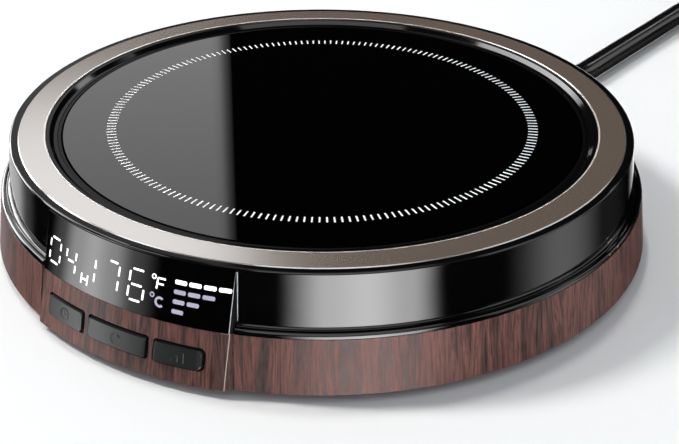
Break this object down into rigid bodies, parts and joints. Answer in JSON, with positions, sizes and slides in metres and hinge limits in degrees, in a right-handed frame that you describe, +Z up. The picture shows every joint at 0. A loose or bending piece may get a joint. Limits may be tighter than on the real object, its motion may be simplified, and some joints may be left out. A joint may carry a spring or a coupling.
{
  "type": "mug_warmer",
  "caption": "Electric mug warmer: round black glass heating plate in a champagne trim ring, wood-look band, front display window, three push keys and a mains cord.",
  "frame": {"origin": "On the surface that it stands on, under the middle of the heating plate", "axes": "+X to the right seen from the front, -Y to the front with the keys, +Z up"},
  "size_m": [0.195, 0.2589, 0.0232],
  "materials": {
    "gloss_black": "polished",
    "champagne": "anodised",
    "black_glass": "polished",
    "black_rubber": "matte",
    "wood_grain": "satin",
    "smoked_window": "polished",
    "key_plastic": "satin",
    "base_plastic": "matte",
    "steel": "brushed",
    "bare_aluminium": "machined",
    "mica": "satin",
    "pad_fibre": "matte",
    "sensor_brown": "satin",
    "board_green": "satin",
    "pale_plastic": "satin",
    "relay_blue": "gloss",
    "capacitor_yellow": "gloss",
    "cord_black": "gloss",
    "wire_blue": "gloss",
    "brass": "plated"
  },
  "bodies": {
    "case": {"upper_shell": "gloss_black", "trim_ring": "champagne", "glass_plate": "black_glass", "plate_gasket": "black_rubber", "wood_band": "wood_grain", "key_panel": "wood_grain", "display_window": "smoked_window", "base_cover": "base_plastic", "rubber_feet": "black_rubber", "case_screws": "steel", "heat_spreader": "bare_aluminium", "heating_element": "mica", "insulation_pad": "pad_fibre", "clamp_plate": "steel", "clamp_screws": "steel", "temperature_sensor": "sensor_brown", "thermal_fuse": "steel", "fuse_clip": "steel", "display_board": "board_green", "display_module": "base_plastic", "tact_switches": "base_plastic", "main_board": "board_green", "board_screws": "steel", "power_relay": "relay_blue", "filter_capacitor": "capacitor_yellow", "bulk_capacitor": "gloss_black", "terminal_block": "board_green", "controller_chip": "base_plastic", "cord_tail": "cord_black", "cord_clamp": "base_plastic", "cord_clamp_screws": "steel", "mains_wires": "wire_blue", "heater_leads": "pale_plastic", "ribbon_cable": "pale_plastic", "strain_relief": "cord_black", "cord_tube": "cord_black", "cord_coil": "cord_black", "cord_end": "cord_black", "plug_body": "cord_black", "plug_blades": "brass"},
    "left_key": {"left_key": "key_plastic", "left_stem": "pale_plastic"},
    "middle_key": {"middle_key": "key_plastic", "middle_stem": "pale_plastic"},
    "right_key": {"right_key": "key_plastic", "right_stem": "pale_plastic"}
  },
  "joints": [
    {"name": "left_key_press", "type": "slide", "parent": "case", "child": "left_key", "axis": [0, 1, 0], "range_m": [0, 0.0005], "stiffness_N_per_m": 1000, "springref_m": -0.0004},
    {"name": "middle_key_press", "type": "slide", "parent": "case", "child": "middle_key", "axis": [0, 1, 0], "range_m": [0, 0.0005], "stiffness_N_per_m": 1000, "springref_m": -0.0004},
    {"name": "right_key_press", "type": "slide", "parent": "case", "child": "right_key", "axis": [0, 1, 0], "range_m": [0, 0.0005], "stiffness_N_per_m": 1000, "springref_m": -0.0004}
  ]
}
